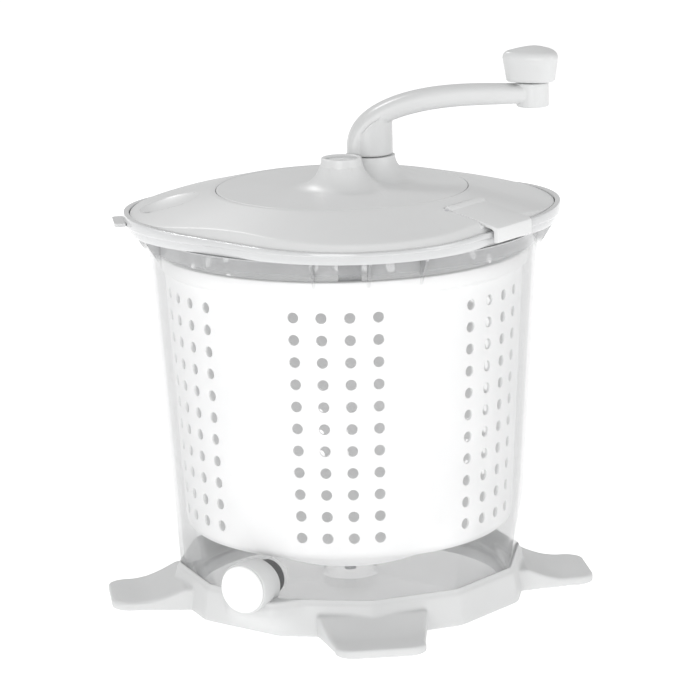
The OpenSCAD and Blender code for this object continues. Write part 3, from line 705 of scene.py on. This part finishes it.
def makeLid(d):
    columns = []
    for j in range(d["around"]):
        a = 2 * pi * j / d["around"]
        outR = rimRadius(a, -d["rimIn"])
        outZ = min(saddle(outR, a) + 0.4, lidTop(outR) - 0.3)
        k, s = d["bevelSlope"], d["slope"]
        edgeR = min((outZ + k * outR - d["topZ"] - s * d["coneR"]) / (k - s), outR - 0.25)
        turnR = min(1.1, (outR - edgeR) * 0.45)
        points = [(d["innerR"], d["topZ"] - 0.5), (d["innerR"] + 0.5, d["topZ"] - 0.05),
                  (d["coneR"], d["topZ"])]
        points += [(d["coneR"] + (edgeR - turnR - d["coneR"]) * i / 26,
                    lidTop(d["coneR"] + (edgeR - turnR - d["coneR"]) * i / 26)) for i in range(1, 27)]
        before = (edgeR - turnR, lidTop(edgeR - turnR))
        corner = (edgeR, lidTop(edgeR))
        after = (edgeR + turnR, lidTop(edgeR) - turnR * (corner[1] - outZ) / max(0.01, outR - edgeR))
        for t in (0.25, 0.5, 0.75, 1.0):
            u = 1 - t
            points.append(tuple(u * u * p + 2 * u * t * q + t * t * r
                                for p, q, r in zip(before, corner, after)))
        wallR = max(outR - 3.6, d["spigotR"] + 0.6)
        midR = (wallR + d["spigotR"]) / 2

        def under(r):
            return min(lidTop(r), outZ + k * (outR - r)) - d["thick"]

        points += [(outR - 0.15, outZ + 0.1), (outR, outZ - 0.25), (outR, 261.8), (outR - 0.3, 261.4),
                   (wallR + 0.2, 261.4), (wallR, 261.6), (wallR, under(wallR)), (midR, under(midR))]
        s0, low = d["spigotR"], d["spigotLow"]
        points += [(s0, under(s0) - 0.3), (s0, low + 0.6), (s0 - 0.6, low), (s0 - 2, low),
                   (s0 - 2.6, low + 0.6), (s0 - 2.6, under(s0 - 2.6) - 0.3)]
        points += [(r, under(r)) for r in (s0 - 3.3, 112, 100, 89)]
        points += [(87.9, 276), (87.8, 273.4), (87.4, 273), (79.4, 273), (79, 273.4), (79, 276.3),
                   (79.5, d["seatZ"]), (d["innerR"], d["seatZ"])]
        columns.append([polar(r, a, z) for r, z in points])
    rings = [list(ring) for ring in zip(*columns)]
    piece = addPiece("lidShell", loft(rings, wrapRings=True), "lidPlastic", 34)
    place = latchFrame(d)
    half = d["latchWidth"] / 2
    carve(piece, block(place, (-7, -half - 3, -6.5), (29.5, half + 3, -0.2)), "UNION")
    carve(piece, block(place, (-4.4, -half - 0.35, -1.35), (60, half + 0.35, 12)))
    carve(piece, block(place, (-4.4, -half - 0.35, -3.9), (4.6, half + 0.35, 12)))
    carve(piece, inletTool(d, 1.4, 1.6), "UNION")
    carve(piece, inletTool(d))
    x, y = d["inletHole"]
    hole = prism([(x + d["holeR"] * cos(t), y + d["holeR"] * sin(t))
                  for t in (2 * pi * i / 48 for i in range(48))], 250, 290)
    carve(piece, hole)
    soften = piece.modifiers.new("edges", "BEVEL")
    soften.width, soften.segments, soften.limit_method = 0.25 * mm, 2, "ANGLE"
    soften.angle_limit = radians(50)
    applied(piece)
    smoothEdges(piece, 34)
    return piece


def latchFrame(d):  # X runs down the lid from the hinge, Z is square to the flap
    hinge = Matrix.Translation((d["hingeR"] * mm, 0, d["hingeZ"] * mm))
    return bearing(d["latchBearing"]) @ hinge @ Matrix.Rotation(radians(d["tilt"]), 4, "Y")


def inletTool(d, grow=0.0, deeper=0.0):  # a dish with a steep near side and a long far slope
    knots = d["inletRim"]
    count = len(knots)
    outline = []
    for i in range(count):
        a, b, c, e = (Vector(knots[(i + k) % count]) for k in (-1, 0, 1, 2))
        for j in range(8):
            t = j / 8
            outline.append(0.5 * (2 * b + (c - a) * t + (2 * a - 5 * b + 4 * c - e) * t ** 2
                                  + (3 * b - a - 3 * c + e) * t ** 3))
    focus = Vector(d["inletFocus"])

    def level(shrink, depth):
        ring = []
        for point in outline:
            way = (point - focus).normalized()
            x, y = focus + (point - focus) * (1 - shrink) + way * grow
            ring.append((x, y, lidTop(math.hypot(x, y)) - depth))
        return ring

    steps = [(0.93, 1.0), (0.75, 0.97), (0.55, 0.86), (0.36, 0.66), (0.2, 0.42), (0.08, 0.2), (0.02, 0.07)]
    rings = [level(shrink, share * d["inletDepth"] + deeper) for shrink, share in steps]
    return loft(rings + [level(0.0, -0.12 + deeper), level(-0.01, -2.0 if not grow else 1.0)])


lidShell = makeLid(lid)
settle(lidShell, "lid", "lid_plastic", "lid_shell")
print("lid made:", len(lidShell.data.polygons), "faces")


def makeLatch(d):
    barrel = [(3.4 * cos(radians(t)), 3.4 * sin(radians(t))) for t in range(28, 288, 10)]
    flap = barrel + [(3.6, -1.0), (34.6, -1.0)]

    def tilted(x, z):
        t = radians(d["tilt"])
        return d["hingeR"] + x * cos(t) + z * sin(t), d["hingeZ"] - x * sin(t) + z * cos(t)

    section = [tilted(x, z) for x, z in flap]
    r, low = d["lipR"], d["lipLow"]
    section += [(r, low + 7.6), (r, low + 0.6), (r + 0.4, low + 0.1), (r + 2.9, low + 0.1)]
    section += [(r + 3.4, low + 0.6), (r + 3.4, low + 8.4), (r + 3.1, low + 9.7), (r + 2.2, low + 10.4)]
    section += [tilted(x, 1.5) for x in (35.6, 30, 20, 10, 3.2)]
    half = d["latchWidth"] / 2
    bm = loft([[(r, y, z) for r, z in section] for y in (-half, half)])
    bmesh.ops.transform(bm, matrix=bearing(d["latchBearing"]), verts=bm.verts)
    piece = addPiece("lidLatch", bm, "lidPlastic", 30)
    soften = piece.modifiers.new("edges", "BEVEL")
    soften.width, soften.segments, soften.limit_method = 0.45 * mm, 3, "ANGLE"
    soften.angle_limit = radians(40)
    applied(piece)
    smoothEdges(piece, 34)
    return piece


settle(makeLatch(lid), "latch", "lid_plastic", "latch")
print("latch made")


cover = {
    "radius": 84.8, "z": 281.0, "under": 277.0, "hubR": 13.7, "hubZ": 301.0, "hubFoot": 34.0,
    "bossR": 17.2, "bossZ": 296.0, "bossFoot": 36.0, "capR": 10.9, "capZ": 296.8, "boreR": 8.0,
    "gap": 41.6, "direction": 55.0, "around": 288,
}
crankX = cover["gap"] * cos(radians(cover["direction"]))
crankY = cover["gap"] * sin(radians(cover["direction"]))


def flare(distance, topR, footR, height):  # a trumpet foot: steep at the top, level at the foot
    u = min(1.0, max(0.0, (distance - topR) / (footR - topR)))
    return height * (1 - math.sqrt(1 - (1 - u) ** 2))


def coverHeight(x, y, c):
    hub = min(15.6, flare(math.hypot(x, y), c["hubR"], c["hubFoot"], c["hubZ"] - c["z"]))
    boss = flare(math.hypot(x - crankX, y - crankY), c["bossR"], c["bossFoot"], c["bossZ"] - c["z"])
    return c["z"] + (hub ** 3 + boss ** 3) ** (1 / 3) if boss < c["bossZ"] - c["z"] else c["bossZ"]


def makeCover(c):
    columns = []
    for j in range(c["around"]):
        a = 2 * pi * j / c["around"]
        dx, dy = cos(a), sin(a)
        along = crankX * dx + crankY * dy
        reach = -along + math.sqrt(along ** 2 + c["radius"] ** 2 - crankX ** 2 - crankY ** 2)
        column = [(c["boreR"], c["under"]), (c["boreR"], c["bossZ"] - 0.4), (c["boreR"] + 0.4, c["bossZ"]),
                  (c["bossR"] - 0.6, c["bossZ"]), (c["bossR"] - 0.15, c["bossZ"] - 0.15)]
        points = [(crankX + dx * r, crankY + dy * r, z) for r, z in column]
        far = [c["bossR"] + 0.06 * i ** 1.6 for i in range(26)]
        last = far[-1]
        far += [last + (reach - 1.0 - last) * i / 62 for i in range(1, 63)]
        for r in far:
            r = min(r, reach - 1.0)
            x, y = crankX + dx * r, crankY + dy * r
            points.append((x, y, coverHeight(x, y, c)))
        edge = (crankX + dx * reach, crankY + dy * reach)
        for inset, z in ((0.5, c["z"] - 0.06), (0.15, c["z"] - 0.2), (0, c["z"] - 0.6), (0, c["under"])):
            share = 1 - inset / c["radius"]
            points.append((edge[0] * share, edge[1] * share, z))
        columns.append(points)
    rings = [list(ring) for ring in zip(*columns)]
    disc = loft(rings, wrapRings=True)
    lipZ = c["z"] + flare(c["hubR"] + 0.5, c["hubR"], c["hubFoot"], c["hubZ"] - c["z"])
    outside = [(c["hubR"] + 0.02 * i ** 1.4,
                c["z"] + flare(c["hubR"] + 0.02 * i ** 1.4, c["hubR"], c["hubFoot"], c["hubZ"] - c["z"]))
               for i in range(3, 12)]
    lip = [(c["capR"], c["capZ"] - 0.6), (c["capR"], c["hubZ"] - 0.5), (c["capR"] + 0.4, c["hubZ"] - 0.08),
           (c["capR"] + 0.9, c["hubZ"]), (c["hubR"] - 0.7, c["hubZ"]), (c["hubR"] - 0.15, c["hubZ"] - 0.3)]
    ring = turned(lip + outside + [(c["hubR"] + 0.6, lipZ - 2.5)], 144)
    return addPiece("gearCover", merge(disc, ring), "lidPlastic", 40)


gearCover = makeCover(cover)
settle(gearCover, "lid", "lid_plastic", "gear_cover")
print("gear cover made:", len(gearCover.data.polygons), "faces")


crank = {
    "bearing": 83.0, "reach": 111.4, "postR": 15.8, "postZ": 296.6, "foot": -10.3, "footZ": 298.5,
    "level": 78.0, "rise": 37.4, "power": 0.87, "bossR": 11.1, "bossLow": 327.0, "bossHigh": 343.5,
    "startWidth": 30.6, "endWidth": 19.6, "thick": 11.0, "swell": 3.4, "voxel": 0.5,
}


def armPoint(angle, c):
    t = radians(angle)
    return Vector((c["level"] + (c["foot"] - c["level"]) * cos(t) ** c["power"], 0,
                   c["footZ"] + c["rise"] * sin(t) ** c["power"]))


def makeCrank(c):
    line = [armPoint(90 * i / 60, c) for i in range(61)]
    line[-1].x = c["level"]
    line += [Vector((c["level"] + (c["reach"] - 3 - c["level"]) * i / 16, 0, c["footZ"] + c["rise"]))
             for i in range(1, 17)]
    rings = []
    for i, point in enumerate(line):
        way = (line[min(i + 1, len(line) - 1)] - line[max(i - 1, 0)]).normalized()
        up = Vector((-way.z, 0, way.x))
        share = i / (len(line) - 1)
        width = c["startWidth"] + (c["endWidth"] - c["startWidth"]) * share
        high = c["thick"] + c["swell"] * sin(radians(150 * share))
        ring = []
        for j in range(48):
            t = 2 * pi * (j + 0.5) / 48
            across = width / 2 * math.copysign(abs(cos(t)) ** 0.55, cos(t))
            lift = high / 2 * math.copysign(abs(sin(t)) ** 0.7, sin(t))
            ring.append(tuple(point + up * lift + Vector((0, across, 0))))
        rings.append(ring)
    arm = loft(rings)
    post = []
    for j in range(144):
        t = 2 * pi * j / 144
        x, y = c["postR"] * cos(t), c["postR"] * sin(t)
        under = armUnder(x, c)
        post.append([(x * 0.94, y * 0.94, c["postZ"]), (x, y, c["postZ"] + 0.8), (x, y, under)])
    body = loft([list(ring) for ring in zip(*post)])
    boss = turned([(0.01, c["bossLow"]), (c["bossR"] - 0.5, c["bossLow"]), (c["bossR"], c["bossLow"] + 0.5),
                   (c["bossR"], c["bossHigh"] - 0.5), (c["bossR"] - 0.5, c["bossHigh"]),
                   (0.01, c["bossHigh"])])
    bmesh.ops.translate(boss, vec=(c["reach"] * mm, 0, 0), verts=boss.verts)
    piece = addPiece("crankArm", merge(arm, body, boss), "crankPlastic")
    piece.data.transform(Matrix.Translation((crankX * mm, crankY * mm, 0)) @ bearing(c["bearing"]))
    return remeshed(piece, c["voxel"], 3)


def armUnder(x, c):  # height of the arm's middle over a point of the post
    best = c["footZ"]
    for i in range(61):
        point = armPoint(90 * i / 60, c)
        if point.x <= x:
            best = point.z
    return max(c["postZ"] + 1.5, best)


crankArm = makeCrank(crank)
settle(crankArm, "crank", "crank_plastic", "crank_arm")
print("crank made:", len(crankArm.data.polygons), "faces")

knob = {"low": 344.6, "high": 368.0, "lowR": 18.2, "wideR": 20.4, "turn": 72.0, "crown": 2.4}


def makeKnob(k, c):
    def outline(size, z):
        ring = []
        for j in range(120):
            t = 2 * pi * j / 120
            reach = size * (1 + 0.115 * cos(3 * t) + 0.012 * cos(6 * t))
            ring.append((reach * cos(t), reach * sin(t), z))
        return ring

    low, high, wide = k["low"], k["high"], k["wideR"] * 0.9
    start = k["lowR"] * 0.9
    rings = [outline(5.2, low + 12), outline(5.2, low + 0.3), outline(5.6, low), outline(start - 2.2, low),
             outline(start - 0.9, low + 0.25), outline(start - 0.2, low + 1.2), outline(start, low + 2.6)]
    rings += [outline(start + (wide - start) * i / 8, low + 2.6 + 13.6 * i / 8) for i in range(1, 9)]
    for t in range(10, 91, 10):
        a = radians(t)
        lift = (high - k["crown"] - low - 16.2) * sin(a)
        rings.append(outline(wide - 4.2 * (1 - cos(a)), low + 16.2 + lift))
    for i in range(1, 9):
        s = 1 - i / 8.0
        rings.append(outline((wide - 4.2) * max(s, 0.02), high - k["crown"] * s * s))
    piece = addPiece("knobShell", loft(rings), "crankPlastic", 50)
    local = Matrix.Translation((c["reach"] * mm, 0, 0)) @ Matrix.Rotation(radians(k["turn"]), 4, "Z")
    piece.data.transform(Matrix.Translation((crankX * mm, crankY * mm, 0)) @ bearing(c["bearing"]) @ local)
    return piece


knobShell = makeKnob(knob, crank)
settle(knobShell, "knob", "crank_plastic", "knob")
print("knob made")


# finishes on the pieces that stay as the frame has them
nodeFinish = {
    "steel": ["pivot_pin", "cover_screws", "plate_screws", "latch_pin", "spindle", "spindle_clip",
              "spider_screw", "crank_shaft", "shaft_clip", "crank_cross_pin", "knob_pin"],
    "acetalPlastic": ["pivot_bush", "basket_cup", "crank_bush_upper", "crank_bush_lower",
                      "spindle_bush_upper", "spindle_bush_lower", "pinion", "drive_gear"],
    "stopperPlastic": ["drain_stopper", "drain_nut"],
    "basePlastic": ["gear_plate"],
    "lidPlastic": ["hub_cap"],
    "spiderPlastic": ["drive_spider"],
    "padRubber": ["foot_pads"],
    "gasketRubber": ["drain_gasket", "stopper_o_ring"],
    "sealRubber": ["lid_seal"],
}
for finish, names in nodeFinish.items():
    for name in names:
        slots = nodes[name].material_slots
        if not slots:
            nodes[name].data.materials.append(finishes[finish])
        for place in slots:
            place.material = finishes[finish]
print("finishes assigned")


studio = {
    "floorSize": 24.0, "floorColour": (0.95, 0.95, 0.95), "floorGlow": 0.5, "sky": 0.62,
    "lights": {  # place, size, power
        "frontSoft": ((-0.9, -2.5, 0.55), 1.6, 22),
        "rightSoft": ((2.2, -1.2, 0.9), 1.4, 9),
        "leftSoft": ((-2.3, 0.2, 1.0), 1.4, 4),
        "backSoft": ((-0.5, 1.6, 1.7), 0.5, 8),
    },
}


def makeStudio(s):
    half = s["floorSize"] / 2
    bm = bmesh.new()
    corners = ((-half, -half), (half, -half), (half, half), (-half, half))
    bm.faces.new([bm.verts.new((x, y, 0)) for x, y in corners])
    mesh = bpy.data.meshes.new("paleFloor")
    bm.to_mesh(mesh)
    bm.free()
    floor = bpy.data.objects.new("paleFloor", mesh)
    bpy.context.scene.collection.objects.link(floor)
    g = Graph("paleFloor")
    shadeOfFloor = s["floorColour"] + (1.0,)
    mesh.materials.append(g.finish({
        "Base Color": shadeOfFloor, "Roughness": 0.9, "Emission Color": shadeOfFloor,
        "Emission Strength": s["floorGlow"]}))
    world = bpy.data.worlds.new("paleSky")
    world.use_nodes = True
    sky = world.node_tree.nodes["Background"]
    sky.inputs["Color"].default_value = (1, 1, 1, 1)
    sky.inputs["Strength"].default_value = s["sky"]
    bpy.context.scene.world = world
    for name, (place, size, power) in s["lights"].items():
        data = bpy.data.lights.new(name, "AREA")
        data.shape, data.size, data.energy = "DISK", size, power
        lamp = bpy.data.objects.new(name, data)
        lamp.location = place
        lamp.rotation_euler = (Vector((0, 0, 0.18)) - Vector(place)).to_track_quat("-Z", "Y").to_euler()
        bpy.context.scene.collection.objects.link(lamp)
    bpy.context.scene.view_settings.view_transform = "Standard"


makeStudio(studio)
print("studio made")
